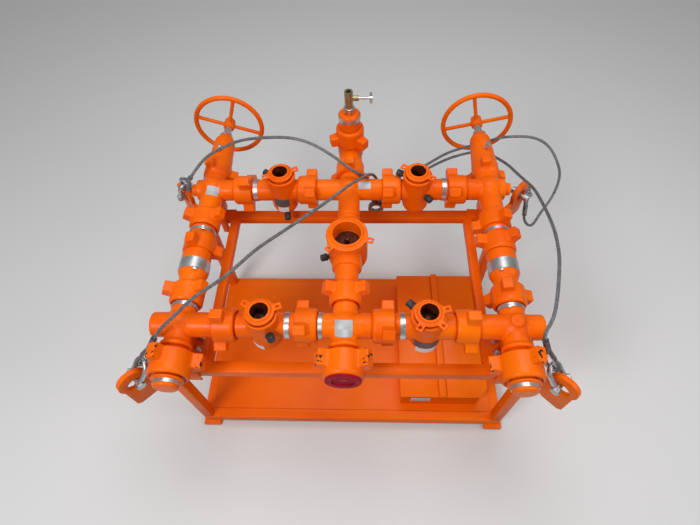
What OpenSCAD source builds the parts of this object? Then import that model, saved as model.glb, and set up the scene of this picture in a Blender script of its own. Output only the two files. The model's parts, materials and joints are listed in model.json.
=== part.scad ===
// Choke manifold on a small steel skid: two adjustable chokes, five plug valves,
// wing unions, corner crosses, a bleed stack and a four leg lifting sling.
// Millimetres, Z up. The viewer of the front stands on the minus Y side.

/* [Layout] */
// Distance from the front run to the back run
run_s = 654; // [560:2:760]
// Height of the pipe centre lines above the floor
z_pipe = 832; // [740:2:900]
// How far each front plug valve sits inside the middle of its half run
front_valve_in = 9; // [0:1:20]
// How far each back plug valve sits inside the middle of its half run
back_valve_in = 11; // [4:1:14]
// Centre of the large plug valve, behind the front run
centre_valve_y = 350; // [344:1:358]

/* [Fittings] */
// Radius of the fitting arms
arm_r = 46; // [42:0.5:50]
// Radius of the necks inside the wing nuts
neck_r = 40; // [36:0.5:44]
// Radius of the cross hubs
hub_r = 58; // [52:1:62]
// Radius of a run wing nut
nut_r = 62; // [58:1:66]
// Width of a run wing nut
nut_w = 80; // [74:1:84]
// Reach of a run wing nut lug from the axis
lug_reach = 93; // [86:1:98]
// Radius of an outlet wing nut
big_nut_r = 73; // [68:1:78]
// Width of an outlet wing nut
big_nut_w = 92; // [84:1:98]
// Reach of an outlet wing nut lug from the axis
big_lug_reach = 106; // [98:1:112]
// Length of the blind stubs beyond the corner centres
stub_len = 100; // [92:1:112]
// Distance from the front run to the ends of the bull plugs
bull_end = 240; // [236:1:260]

/* [Plug valves] */
// Radius of a small plug valve barrel
valve_r = 58; // [54:1:62]
// Height of the valve barrel top above the pipe line
valve_top = 92; // [84:1:100]
// Depth of the rounded valve bottom below the pipe line
valve_low = 124; // [112:1:134]
// Radius of the open operator socket
socket_r = 31; // [28:0.5:33]
// Outer radius of the operator cup
cup_r = 43; // [40:0.5:44.5]
// Running gap round the operator cup
cup_gap = 6; // [5:0.5:8]
// Radius of the large plug valve barrel
big_valve_r = 80; // [76:1:84]
// Radius of the large operator socket
big_socket_r = 55; // [52:0.5:58]
// Outer radius of the large operator cup
big_cup_r = 66; // [64:0.5:68]

/* [Chokes] */
// Distance from the back run to the handwheel plane
wheel_y = 426; // [400:2:450]
// Radius of the handwheel rim centre line
wheel_r = 158; // [140:1:170]
// Radius of the handwheel rim bar
rim_r = 11.5; // [9:0.5:14]
// Radius of the choke stem
stem_r = 14; // [12:0.5:16]

/* [Bleed stack] */
// Distance from the back run to the upright of the bleed stack
stack_y = 246; // [240:2:270]
// Height of the bleed stack cap above the pipe line
stack_top = 216; // [206:1:230]

/* [Skid] */
// Outer width of the skid
skid_w = 1422; // [1300:2:1600]
// Distance of each side run inside the skid edge
side_in = 111; // [105:1:120]
// Distance of the skid front face before the front run
skid_front = 123; // [118:1:135]
// Outer depth of the skid
skid_d = 787; // [780:1:810]
// Side of the square tubes
tube = 45; // [40:1:50]
// Depth of the top rails below the pipe line
rail_drop = 150; // [140:1:160]
// Height of the base rails above the floor
base_top = 77; // [65:1:90]
// Thickness of the foot pads
foot_t = 17; // [12:1:22]
// Thickness of the deck plate
deck_t = 6; // [4:0.5:10]

/* [Tool box] */
// Distance of the tool box inside the right skid edge
box_gap = 79; // [66:1:120]
// Width of the tool box
box_w = 392; // [340:2:400]
// Height of the tool box above the deck
box_h = 120; // [90:2:140]
// Front of the tool box behind the skid front
box_inset = 78; // [60:2:100]

/* [Lifting gear] */
// Reach of a padeye plate beyond the post corner
pad_reach = 128; // [120:1:140]
// Thickness of a padeye plate
pad_t = 20; // [16:1:25]
// Radius of the rounded padeye top
pad_r = 56; // [52:1:60]
// Radius of the padeye hole
pad_hole_r = 30; // [26:1:32]
// Radius of the sling rope
rope_r = 6.5; // [5:0.5:8]

/* [Hidden] */
$fn = 40;
eps = 0.01;
fit = 0.08;
clr = 0.4;
side_x = skid_w / 2 - side_in;
front_valve_x = side_x / 2 - front_valve_in;
back_valve_x = side_x / 2 - back_valve_in;
box_x0 = skid_w / 2 - box_gap - box_w;
wheel_end = 30;
back_end = run_s + wheel_y + wheel_end;
y_shift = -(back_end - bull_end) / 2;
nut_mid = nut_w / 2;
fx_in = front_valve_x / 2 - 7.5;
fx_out = (front_valve_x + side_x) / 2 - 14.5;
bx_in = back_valve_x - 107;
bx_out = (back_valve_x + side_x) / 2 + 16.5;
side_n1 = run_s - 181;
side_n2 = run_s - 300;
side_n3 = 118;
cen_nut = 120;
cap_nut_w = big_nut_w - 14;
out_nut = -148;
corner_nut = -158;
bleed_nut = run_s + 103;
stack_line = run_s + stack_y;
stack_nut = 60;
post_x = skid_w / 2 - tube / 2;
post_y0 = -skid_front + tube / 2;
post_y1 = -skid_front + skid_d - tube / 2;
base_z = base_top - z_pipe;
foot_z = foot_t - z_pipe;
rail_in = side_x - 84;
rail_w = 36;
plate_in = side_x - 68;
slot_x = side_x - 52;
face_in = side_x - 42;
face_w = 132;
face_low = 28;
face_t = 6;
bolt_x = side_x - 40;
block_x = side_x - 24;
block_w = 64;
bar_x = side_x - 25;
bar_w = 32;
bar_t = 10;
bar_low = 52;
plate_t = 8;
pad_z = -110;
pad_low = -250;
pad_s = pad_reach - 48;
pad_neck = 31;
recess_r = cup_r + cup_gap;
big_recess_r = big_cup_r + cup_gap;
cup_floor = valve_top - 58;
big_top = 70;
big_low = 96;
big_floor = big_top - 52;
stem_in = run_s + 150;
bonnet_end = run_s + 262;
ring_t = 18;
choke_stub = 90;

// Shackle, thimble and ferrule places
pin_r = 11;
pin_move = pad_hole_r - pin_r - clr;
bow_len = 62;
bow_half = 28;
bow_rod = 9.5;
eye_r = 26;
eye_in = 20;
eye_len = 62;
eye_t = 12;
// Slack of each thimble on its bow along the leg
slack_fl = 2.3;
slack_fr = 2;
slack_bl = 3;
slack_br = 4.5;
ferrule_len = 46;
ferrule_r = 11;
link_x = 118 * side_x / 600;
link_y = run_s + 58;
link_z = -186;
link_r = 36;
link_in = 22;
link_t = 18;

// How far each shackle bow leans in from upright
lean_fl = 42;
lean_fr = 42;
lean_bl = 20;
lean_br = -120;

function corner(sx, b) = [sx * skid_w / 2, (b == 0 ? 0 : skid_d) - skid_front, 0];
function outward(sx, b) = [sx * sqrt(0.5), (b == 0 ? -1 : 1) * sqrt(0.5), 0];
function on_pad(sx, b, s, z) = corner(sx, b) + s * outward(sx, b) + [0, 0, z];
function pin_at(a) = [pad_s - pin_move * sin(a), pad_z + pin_move * cos(a)];
function crown(sx, b, a) = on_pad(sx, b, pin_at(a)[0] - (bow_len + bow_half) * sin(a),
  pin_at(a)[1] + (bow_len + bow_half) * cos(a));
function at(p) = [p[0] * side_x / 600, p[1] * run_s / 654, p[2]];

// Direction of each sling leg out of its shackle
dir_fl = [0.52, 0.41, 0.75];
dir_fr = [-0.36, 0.44, 0.82];
dir_bl = [0.55, -0.35, 0.76];
dir_br = [-0.02, -0.61, -0.79];

// Directions in which the legs leave the link, and the places of those ends
out_fl = [0.12, 0.06, 1];
out_bl = [-0.24, 0.06, 1];
out_fr = [0.42, 0.72, 0.55];
out_br = [0.46, 0.88, 0.12];

// Sling route points, pipe line frame
way_fl = [[-610, -62, 112], [-570, -20, 124], [-524, 34, 134], [-448, 92, 144], [-398, 138, 150],
  [-324, 226, 154], [-246, 298, 154], [-136, 406, 146], [-62, 488, 134], [2, 570, 118],
  [38, 612, 104], [66, 650, 88], [96, 690, 60], [116, 714, 10], [126, 722, -50]];
way_bl = [[-660, 664, 100], [-613, 719, 130], [-558, 742, 152], [-486, 770, 170],
  [-424, 784, 176], [-338, 790, 178], [-258, 788, 178], [-172, 766, 172], [-76, 716, 150],
  [0, 674, 112], [46, 676, 70], [74, 706, 26], [86, 718, -40]];
way_fr = [[696, -26, 110], [722, 58, 132], [754, 184, 136], [764, 242, 134], [774, 326, 122],
  [778, 404, 104], [780, 500, 76], [776, 626, 36], [750, 726, 0], [718, 838, -36], [674, 918, -62],
  [634, 964, -78], [566, 972, -90], [456, 938, -100], [328, 862, -110], [250, 816, -116],
  [196, 766, -130]];
way_br = [[862, 668, -284], [914, 740, -272], [960, 790, -236], [986, 830, -184], [990, 860, -128],
  [972, 876, -84], [950, 912, -50], [922, 970, -36], [876, 1008, -32], [816, 1024, -36],
  [728, 1033, -48], [660, 1025, -66], [567, 1013, -88], [470, 988, -104], [372, 932, -122],
  [300, 888, -138], [240, 838, -158], [200, 790, -178]];

// Shared helpers

module at_pipes() {
  translate([0, y_shift, z_pipe])
    children();
}

module rod_x(x0, x1, r) {
  translate([x0, 0, 0])
    rotate([0, 90, 0])
      cylinder(r = r, h = x1 - x0);
}

module rod_y(y0, y1, r) {
  translate([0, y1, 0])
    rotate([90, 0, 0])
      cylinder(r = r, h = y1 - y0);
}

module rod_z(z0, z1, r) {
  translate([0, 0, z0])
    cylinder(r = r, h = z1 - z0);
}

module cone_y(y0, y1, r0, r1) {
  translate([0, y0, 0])
    rotate([-90, 0, 0])
      cylinder(r1 = r0, r2 = r1, h = y1 - y0);
}

module cone_x(x0, x1, r0, r1) {
  translate([x0, 0, 0])
    rotate([0, 90, 0])
      cylinder(r1 = r0, r2 = r1, h = x1 - x0);
}

// Wing nut along Z, lugs at the low end
module wing_nut(r, w, reach, lug_w) {
  difference() {
    union() {
      cylinder(r = r, h = w - 8);
      translate([0, 0, w - 8])
        cylinder(r1 = r, r2 = r - 6, h = 8);
      for (a = [0, 120, 240])
        rotate(a)
          linear_extrude(lug_w)
            polygon([[r * 0.7, -25], [reach, -18], [reach, 18], [r * 0.7, 25]]);
    }
    translate([0, 0, -1])
      cylinder(r = neck_r + clr, h = w + 2);
  }
}

module nut_on_x(xc, dir, turn) {
  translate([xc - dir * nut_mid, 0, 0])
    rotate([0, dir * 90, 0])
      rotate(turn)
        wing_nut(nut_r, nut_w, lug_reach, 46);
}

module nut_on_y(yc, dir, turn) {
  translate([0, yc - dir * nut_mid, 0])
    rotate([-dir * 90, 0, 0])
      rotate(turn)
        wing_nut(nut_r, nut_w, lug_reach, 46);
}

module big_nut_on_y(yc, w, turn) {
  translate([0, yc + w / 2, 0])
    rotate([90, 0, 0])
      rotate(turn)
        wing_nut(big_nut_r, w, big_lug_reach, 54);
}

// Skid

module base_rails() {
  color("orangered")
    at_pipes() {
      difference() {
        translate([-skid_w / 2, -skid_front, foot_z])
          cube([skid_w, skid_d, base_top - foot_t]);
        translate([-skid_w / 2 + tube, -skid_front + tube, foot_z - 1])
          cube([skid_w - 2 * tube, skid_d - 2 * tube, base_top]);
      }
      for (sx = [-1, 1], y = [post_y0, post_y1])
        translate([sx * (post_x - 6) - 42, y - 42, -z_pipe])
          cube([84, 84, foot_t]);
    }
}

module deck_plate() {
  color("orangered")
    at_pipes()
      translate([-skid_w / 2 + tube + clr, -skid_front + tube + clr, base_z - deck_t])
        cube([skid_w - 2 * tube - 2 * clr, skid_d - 2 * tube - 2 * clr, deck_t]);
}

module corner_posts() {
  color("orangered")
    at_pipes()
      for (sx = [-1, 1], y = [post_y0, post_y1])
        translate([sx * post_x - tube / 2, y - tube / 2, base_z])
          cube([tube, tube, -rail_drop - base_z]);
}

module top_rails() {
  color("orangered")
    at_pipes() {
      for (y = [post_y0, post_y1])
        translate([-post_x + tube / 2, y - tube / 2, -rail_drop - tube])
          cube([2 * post_x - tube, tube, tube]);
      for (sx = [-1, 1])
        translate([sx * (rail_in + rail_w / 2) - rail_w / 2, post_y0 + tube / 2, -rail_drop - tube])
          cube([rail_w, post_y1 - post_y0 - tube, tube]);
    }
}

// A box on the right for sx 1 and its mirror image on the left for sx -1
module side_box(sx, x0, w, y0, d, z0, z1) {
  translate([sx < 0 ? -x0 - w : x0, y0, z0])
    cube([w, d, z1 - z0]);
}

// Top plate over each post, with a face plate on the front beam
module corner_brackets() {
  color("orangered")
    at_pipes()
      for (sx = [-1, 1]) {
        difference() {
          side_box(sx, plate_in, skid_w / 2 - plate_in, -skid_front, 140, -rail_drop, -rail_drop + plate_t);
          side_box(sx, slot_x - 6, 12, -skid_front + 4, 40, -rail_drop - 1, -rail_drop + plate_t + 1);
        }
        side_box(sx, plate_in, skid_w / 2 - plate_in, skid_d - skid_front - tube, tube, -rail_drop,
          -rail_drop + plate_t);
        side_box(sx, face_in, face_w, -skid_front - face_t, face_t, -rail_drop - tube - face_low,
          -rail_drop + plate_t);
      }
}

// A block under each corner body, and an upright bar before the back beam
module pipe_saddles() {
  color("orangered")
    at_pipes()
      for (sx = [-1, 1]) {
        side_box(sx, block_x, block_w, -52, 60, -rail_drop + plate_t, -hub_r - clr);
        side_box(sx, block_x, block_w, run_s - 30, 60, -rail_drop + plate_t, -hub_r - 2 - clr);
        side_box(sx, bar_x, bar_w, post_y1 - tube / 2 - bar_t, bar_t, -rail_drop - tube - bar_low,
          -arm_r - 6 - clr);
      }
}

module saddle_bolts() {
  color("silver")
    at_pipes()
      for (sx = [-1, 1], y = [-44, 4])
        translate([sx * bolt_x, y, 0]) {
          rod_z(-rail_drop + plate_t, -96, 6);
          rod_z(-118, -104, 11);
        }
}

module box_outline(g) {
  x1 = box_x0 + box_w + g;
  y0 = -skid_front + box_inset - g;
  y1 = post_y1 - tube / 2 - 10;
  polygon([[box_x0 - g, y0], [x1 - 36, y0], [x1, y0 + 46], [x1, y1], [box_x0 - g, y1]]);
}

module tool_box() {
  rib = box_x0 + box_w * 0.487;
  color("orangered")
    at_pipes()
      translate([0, 0, base_z]) {
        linear_extrude(box_h - 8)
          box_outline(0);
        difference() {
          translate([0, 0, box_h - 8])
            linear_extrude(8)
              box_outline(6);
          for (x = [rib - 19, rib + 16])
            translate([x, -skid_front, box_h - 5])
              cube([3, skid_d, 6]);
        }
        translate([rib - 16, -skid_front + box_inset - 6, box_h - 1])
          cube([32, post_y1 - post_y0 - box_inset + 2, 10]);
      }
}

// Plate along the local X axis, Z up: a square foot on the post and a rounded ear above
module padeye_plate() {
  rotate([90, 0, 0])
    linear_extrude(pad_t, center = true)
      difference() {
        union() {
          translate([pad_s, pad_z + 18])
            circle(r = pad_r, $fn = 64);
          translate([pad_neck, pad_low + 70])
            square([pad_reach - pad_neck, pad_z + 18 - pad_low - 70]);
          polygon([[-16, pad_low + 40], [-16, pad_low + 118], [pad_neck + 1, pad_low + 118],
            [pad_reach, pad_low + 90], [pad_reach, pad_low + 14], [pad_reach - 14, pad_low],
            [pad_neck + 20, pad_low]]);
        }
        translate([pad_s, pad_z])
          circle(r = pad_hole_r, $fn = 48);
      }
}

module at_corners() {
  for (sx = [-1, 1], b = [0, 1])
    translate([sx * skid_w / 2, b == 0 ? -skid_front : skid_d - skid_front, 0])
      rotate(sx < 0 ? (b == 0 ? -135 : 135) : (b == 0 ? -45 : 45))
        children();
}

module padeyes() {
  color("orangered")
    at_pipes()
      difference() {
        at_corners()
          padeye_plate();
        translate([-skid_w / 2, -skid_front, -z_pipe])
          cube([skid_w, skid_d, z_pipe + 200]);
      }
}

// Crosses

module front_left_cross() {
  color("orangered")
    at_pipes()
      corner_cross(-1);
}

module front_right_cross() {
  color("orangered")
    at_pipes()
      corner_cross(1);
}

module corner_cross(sx) {
  translate([sx * side_x, 0, 0]) {
    sphere(r = hub_r, $fn = 48);
    rod_x(sx < 0 ? -stub_len : 0, sx < 0 ? 0 : stub_len, arm_r);
    rod_y(0, side_n3 - nut_mid - clr, arm_r);
    rod_y(0, side_n3 - clr, neck_r);
    rod_y(-80, 0, arm_r);
    cone_y(-80, -72, arm_r + 11, arm_r);
    rod_y(-94, -80, arm_r + 11);
    rod_y(corner_nut + clr, 0, neck_r);
    if (sx > 0)
      rod_z(0, hub_r + 3, 25);
  }
  rod_x(sx < 0 ? -side_x : fx_out + nut_mid + clr, sx < 0 ? -fx_out - nut_mid - clr : side_x, arm_r);
  rod_x(sx < 0 ? -side_x : fx_out + clr / 2, sx < 0 ? -fx_out - clr / 2 : side_x, neck_r);
}

module front_centre_cross() {
  color("orangered")
    at_pipes() {
      sphere(r = hub_r, $fn = 48);
      rod_x(-fx_in + nut_mid + clr, fx_in - nut_mid - clr, arm_r);
      rod_x(-fx_in + clr / 2, fx_in - clr / 2, neck_r);
      rod_y(0, cen_nut - nut_mid - clr, arm_r);
      rod_y(out_nut + clr, cen_nut - clr / 2, neck_r);
      rod_y(-80, 0, arm_r);
      cone_y(-80, -72, arm_r + 11, arm_r);
      rod_y(-94, -80, arm_r + 11);
    }
}

module back_centre_cross() {
  color("orangered")
    at_pipes()
      translate([0, run_s, 0]) {
        sphere(r = hub_r, $fn = 48);
        rod_x(-bx_in + nut_mid + clr, bx_in - nut_mid - clr, arm_r);
        rod_x(-bx_in + clr / 2, bx_in - clr / 2, neck_r);
        rod_y(0, bleed_nut - run_s - nut_mid - clr, arm_r);
        rod_y(0, bleed_nut - run_s - clr / 2, neck_r);
        rod_y(-(run_s - centre_valve_y) + 140, 0, arm_r);
      }
}

// Chokes

module choke(sx) {
  difference() {
    union() {
      translate([sx * side_x, run_s, 0]) {
        sphere(r = hub_r + 2, $fn = 48);
        rod_x(sx < 0 ? -64 : 0, sx < 0 ? 0 : 64, arm_r);
        rod_x(sx < 0 ? -choke_stub : 0, sx < 0 ? 0 : choke_stub, 27);
        rod_y(-181 + nut_mid + clr, 0, arm_r);
        rod_y(-181 + clr / 2, 0, neck_r);
        rod_y(0, 72, arm_r + 4);
        rod_y(72, 136, 58);
        cone_y(136, 150, 58, 50);
        cone_y(150, 236, 50, 27);
        rod_y(236, 262, 22);
        for (a = [20, 140, 260])
          rotate([0, a, 0])
            translate([0, 78, -19])
              cube([90, 46, 38]);
      }
      translate([0, run_s, 0]) {
        rod_x(sx < 0 ? -side_x : bx_out + nut_mid + clr, sx < 0 ? -bx_out - nut_mid - clr : side_x, arm_r);
        rod_x(sx < 0 ? -side_x : bx_out + clr / 2, sx < 0 ? -bx_out - clr / 2 : side_x, neck_r);
      }
    }
    translate([sx * side_x, 0, 0])
      rod_y(stem_in - 4, bonnet_end + 1, stem_r + fit);
  }
}

module left_choke() {
  color("orangered")
    at_pipes()
      choke(-1);
}

module right_choke() {
  color("orangered")
    at_pipes()
      choke(1);
}

module handwheel(turn) {
  rod_y(stem_in, run_s + wheel_y + 10, stem_r);
  rod_y(run_s + wheel_y - 22, back_end, 26);
  translate([0, run_s + wheel_y, 0])
    rotate([90, 0, 0])
      rotate_extrude($fn = 72)
        translate([wheel_r, 0])
          circle(r = rim_r, $fn = 20);
  for (a = [0, 90, 180, 270])
    translate([0, run_s + wheel_y, 0])
      rotate([0, a + turn, 0])
        rod_x(20, wheel_r, 9);
}

module left_handwheel() {
  color("orangered")
    at_pipes()
      translate([-side_x, 0, 0])
        handwheel(20);
}

module right_handwheel() {
  color("orangered")
    at_pipes()
      translate([side_x, 0, 0])
        handwheel(-14);
}

// Plug valves

module small_valve(x_a, x_b) {
  difference() {
    union() {
      rod_z(-valve_low + valve_r, valve_top - 16, valve_r);
      translate([0, 0, -valve_low + valve_r])
        sphere(r = valve_r, $fn = 48);
      rod_z(valve_top - 16, valve_top, valve_r + 3);
      rod_x(-x_a + nut_mid + clr, x_b - nut_mid - clr, arm_r);
      rod_x(-x_a + clr / 2, x_b - clr / 2, neck_r);
    }
    rod_z(cup_floor, valve_top + 1, recess_r);
    rod_z(cup_floor - 30, cup_floor + 1, 18 + fit);
  }
}

module operator(r_in, r_cup, r_ring, low, top, ears) {
  difference() {
    union() {
      rod_z(low + 6, top + 6 + eps, r_cup);
      rod_z(low - 24, low + 7, 18);
      rod_z(top + 6, top + 6 + ring_t, r_ring);
      for (a = ears)
        rotate(a)
          difference() {
            translate([r_ring - 12, -13, top + 8])
              cube([38, 26, 12]);
            translate([r_ring + 6, -5, top + 7])
              cube([13, 10, 14]);
          }
    }
    rod_z(low + 14, top + 7 + ring_t, r_in);
  }
}

module front_left_valve() {
  color("orangered")
    at_pipes()
      translate([-front_valve_x, 0, 0])
        small_valve(fx_out - front_valve_x, front_valve_x - fx_in);
}

module front_right_valve() {
  color("orangered")
    at_pipes()
      translate([front_valve_x, 0, 0])
        small_valve(front_valve_x - fx_in, fx_out - front_valve_x);
}

module back_left_valve() {
  color("orangered")
    at_pipes()
      translate([-back_valve_x, run_s, 0])
        small_valve(bx_out - back_valve_x, back_valve_x - bx_in);
}

module back_right_valve() {
  color("orangered")
    at_pipes()
      translate([back_valve_x, run_s, 0])
        small_valve(back_valve_x - bx_in, bx_out - back_valve_x);
}

module centre_valve() {
  color("orangered")
    at_pipes()
      translate([0, centre_valve_y, 0])
        difference() {
          union() {
            rod_z(-big_low + 30, big_top, big_valve_r);
            rod_z(-big_low, -big_low + 31, big_valve_r - 22);
            rod_y(-(centre_valve_y - cen_nut) + nut_mid + clr, 0, arm_r);
            rod_y(-(centre_valve_y - cen_nut) + clr / 2, 0, neck_r);
            rod_y(-112, 0, arm_r + 12);
            rod_y(0, 140 - clr, arm_r);
            rod_y(0, 112, arm_r + 12);
          }
          rod_z(big_floor, big_top + 1, big_recess_r);
          rod_z(big_floor - 30, big_floor + 1, 18 + fit);
        }
}

module front_left_operator() {
  color("orangered")
    at_pipes()
      translate([-front_valve_x, 0, 0])
        operator(socket_r, cup_r, 52, cup_floor, valve_top, [150, 20]);
}

module front_right_operator() {
  color("orangered")
    at_pipes()
      translate([front_valve_x, 0, 0])
        operator(socket_r, cup_r, 52, cup_floor, valve_top, [14, 238, 313]);
}

module back_left_operator() {
  color("orangered")
    at_pipes()
      translate([-back_valve_x, run_s, 0])
        operator(socket_r, cup_r, 52, cup_floor, valve_top, [200, 20]);
}

module back_right_operator() {
  color("orangered")
    at_pipes()
      translate([back_valve_x, run_s, 0])
        operator(socket_r, cup_r, 52, cup_floor, valve_top, [150, 330]);
}

module centre_operator() {
  color("orangered")
    at_pipes()
      translate([0, centre_valve_y, 0])
        operator(big_socket_r, big_cup_r, 82, big_floor, big_top, [342, 225]);
}

// Wing nuts

module front_run_nuts() {
  color("orangered")
    at_pipes() {
      nut_on_x(-fx_out, 1, 160);
      nut_on_x(-fx_in, -1, 185);
      nut_on_x(fx_in, 1, 172);
      nut_on_x(fx_out, -1, 200);
    }
}

module back_run_nuts() {
  color("orangered")
    at_pipes()
      translate([0, run_s, 0]) {
        nut_on_x(-bx_out, 1, 170);
        nut_on_x(-bx_in, -1, 190);
        nut_on_x(bx_in, 1, 165);
        nut_on_x(bx_out, -1, 195);
      }
}

module side_nuts(sx) {
  translate([sx * side_x, 0, 0]) {
    nut_on_y(side_n1, 1, 100);
    nut_on_y(side_n2, -1, 70);
    nut_on_y(side_n3, 1, 30);
    big_nut_on_y(corner_nut, big_nut_w, sx < 0 ? 5 : 45);
  }
}

module left_run_nuts() {
  color("orangered")
    at_pipes()
      side_nuts(-1);
}

module right_run_nuts() {
  color("orangered")
    at_pipes()
      side_nuts(1);
}

module centre_line_nuts() {
  color("orangered")
    at_pipes() {
      nut_on_y(cen_nut, 1, 60);
      big_nut_on_y(out_nut, cap_nut_w, 90);
      nut_on_y(bleed_nut, -1, 95);
      translate([0, stack_line, stack_nut])
        rotate(80)
          wing_nut(nut_r, nut_w, lug_reach, 46);
    }
}

module side_spools() {
  color("orangered")
    at_pipes()
      for (sx = [-1, 1])
        translate([sx * side_x, 0, 0]) {
          rod_y(side_n3 + clr / 2, side_n2 - clr / 2, neck_r);
          rod_y(side_n3 + nut_mid + clr, side_n2 - nut_mid - clr, arm_r);
          cone_y(side_n3 + nut_mid + 32, side_n3 + nut_mid + 54, arm_r, 56);
          rod_y(side_n3 + nut_mid + 54, side_n2 - nut_mid - clr, 56);
          rod_y(side_n2 + clr / 2, side_n1 - clr / 2, neck_r);
          rod_y(side_n2 + nut_mid + clr, side_n1 - nut_mid - clr, 52);
        }
}

module bull_plugs() {
  color("orangered")
    at_pipes()
      for (sx = [-1, 1])
        translate([sx * side_x, 0, 0]) {
          rod_y(-bull_end + 6, corner_nut - big_nut_w / 2 - clr, 44);
          cone_y(-bull_end, -bull_end + 6.01, 39, 44);
          rod_y(-bull_end + 6, corner_nut - clr, neck_r);
          rod_y(corner_nut - big_nut_w / 2 - 9, corner_nut - big_nut_w / 2 - clr, 57);
        }
}

module outlet_cap() {
  color("crimson")
    at_pipes() {
      rod_y(-205, out_nut - cap_nut_w / 2 - clr, 61);
      rod_y(out_nut - cap_nut_w / 2 - clr, out_nut - clr, neck_r - 1);
    }
}

// Bleed stack

module bleed_elbow() {
  color("orangered")
    at_pipes() {
      rod_y(bleed_nut + clr / 2, stack_line, neck_r);
      rod_y(bleed_nut + nut_mid + clr, stack_line, arm_r + 6);
      translate([0, stack_line, 0]) {
        sphere(r = hub_r, $fn = 48);
        rod_z(-60, 0, arm_r);
        rod_z(0, 44, hub_r);
        translate([0, 0, 44])
          cylinder(r1 = hub_r, r2 = arm_r, h = 12);
        rod_z(0, stack_top, neck_r);
        rod_z(stack_nut + nut_w + clr, stack_top - 8, arm_r);
        translate([0, 0, stack_top - 8])
          cylinder(r1 = arm_r, r2 = neck_r, h = 8);
      }
    }
}

module needle_valve() {
  color("darkkhaki")
    at_pipes()
      translate([0, stack_line, stack_top])
        difference() {
          union() {
            translate([0, 0, clr / 2])
              cylinder(r = 24, h = 26, $fn = 6);
            rod_z(26, 104, 18);
            translate([0, 0, 70])
              rod_x(0, 42, 11);
          }
          rod_z(80, 105, 10);
          translate([0, 0, 70])
            rod_x(22, 43, 5 + fit);
        }
}

module needle_handle() {
  color("silver")
    at_pipes()
      translate([0, stack_line, stack_top + 70]) {
        rod_x(24, 94, 5);
        rod_x(84, 100, 9);
        translate([92, 0, 0])
          rod_y(-32, 32, 5.5);
      }
}

// Small parts

module band_y(y0, y1, r) {
  difference() {
    rod_y(y0, y1, r + 2.5);
    rod_y(y0 - 1, y1 + 1, r + 0.2);
  }
}

module band_x(x0, x1, r) {
  difference() {
    rod_x(x0, x1, r + 2.5);
    rod_x(x0 - 1, x1 + 1, r + 0.2);
  }
}

module id_bands() {
  color("silver")
    at_pipes() {
      for (sx = [-1, 1])
        translate([sx * side_x, 0, 0]) {
          band_y(side_n3 - nut_mid - 17, side_n3 - nut_mid - 2, arm_r);
          band_y(side_n3 + nut_mid + 60, side_n3 + nut_mid + 108, 56);
          band_y(side_n2 + nut_mid + 10, side_n2 + nut_mid + 24, 52);
          band_y(-bull_end + 12, -bull_end + 26, 44);
          translate([-sx * (side_x - bx_out + nut_mid + 16), run_s, 0])
            band_x(-9, 9, arm_r);
          translate([-sx * (side_x - (fx_in + nut_mid + front_valve_x - valve_r) / 2), 0, 0])
            band_x(-9, 9, arm_r);
        }
      band_x(-fx_in + nut_mid + 4, -fx_in + nut_mid + 18, arm_r);
      translate([0, stack_line, stack_top - 30])
        rotate([-90, 0, 0])
          band_y(-20, 0, arm_r);
    }
}

module grease_caps() {
  color("black")
    at_pipes() {
      for (p = [[-front_valve_x, 0], [front_valve_x, 0], [-back_valve_x, run_s], [back_valve_x, run_s]])
        translate([p[0], p[1], -30])
          rotate([90, 0, 30])
            translate([0, 0, valve_r + clr / 2])
              cylinder(r = 7, h = 16);
    }
}

// Lifting gear

module shackle(a) {
  translate([pin_at(a)[0], 0, pin_at(a)[1]]) {
    rotate([90, 0, 0])
      cylinder(r = pin_r, h = 2 * bow_half + 30, center = true);
    rotate([0, -a, 0]) {
      for (sy = [-1, 1])
        translate([0, sy * bow_half, 0]) {
          cylinder(r = bow_rod, h = bow_len);
          rotate([90, 0, 0])
            cylinder(r = 17, h = 15, center = true);
        }
      translate([0, 0, bow_len])
        rotate([90, 0, 90])
          rotate_extrude(angle = 180, $fn = 40)
            translate([bow_half, 0])
              circle(r = bow_rod, $fn = 20);
    }
  }
}

module at_corner(sx, b) {
  translate(corner(sx, b))
    rotate(sx < 0 ? (b == 0 ? -135 : 135) : (b == 0 ? -45 : 45))
      children();
}

module shackles() {
  color("silver")
    at_pipes() {
      at_corner(-1, 0)
        shackle(lean_fl);
      at_corner(1, 0)
        shackle(lean_fr);
      at_corner(-1, 1)
        shackle(lean_bl);
      at_corner(1, 1)
        shackle(lean_br);
    }
}

// A thimble round the shackle crown, drawn to a point, and the ferrule that closes it
module thimble() {
  rotate([90, 0, 0])
    linear_extrude(eye_t, center = true)
      difference() {
        union() {
          circle(r = eye_r, $fn = 48);
          polygon([[-eye_r * 0.95, 9], [eye_r * 0.95, 9], [8, eye_len], [-8, eye_len]]);
        }
        circle(r = eye_in, $fn = 40);
        polygon([[-eye_in * 0.9, 8], [eye_in * 0.9, 8], [2, eye_len - 12], [-2, eye_len - 12]]);
      }
}

module along(u) {
  rotate([0, 0, atan2(u[1], u[0])])
    rotate([0, acos(u[2] / norm(u)), 0])
      children();
}

function seat(g) = eye_in - bow_rod - g;

// Turn of a thimble about its leg, so that it stands square to the shackle crown
function eye_turn(sx, b, u) = let(f = atan2(u[1], u[0]), t = acos(u[2]), o = outward(sx, b),
  n = [-o[1], o[0], 0])
  atan2(-(n * [cos(t) * cos(f), cos(t) * sin(f), -sin(t)]), n * [-sin(f), cos(f), 0]);

module leg_end(sx, b, a, d, g) {
  u = d / norm(d);
  translate(crown(sx, b, a) + seat(g) * u)
    along(u) {
      rotate([0, 0, eye_turn(sx, b, u)])
        thimble();
      rod_z(eye_len - 8, eye_len + ferrule_len, ferrule_r);
    }
}

function link_at(u) = let(v = [u[0], 0, u[2]]) [link_x, link_y, link_z] + (link_r + 1) * v / norm(v);

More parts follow.
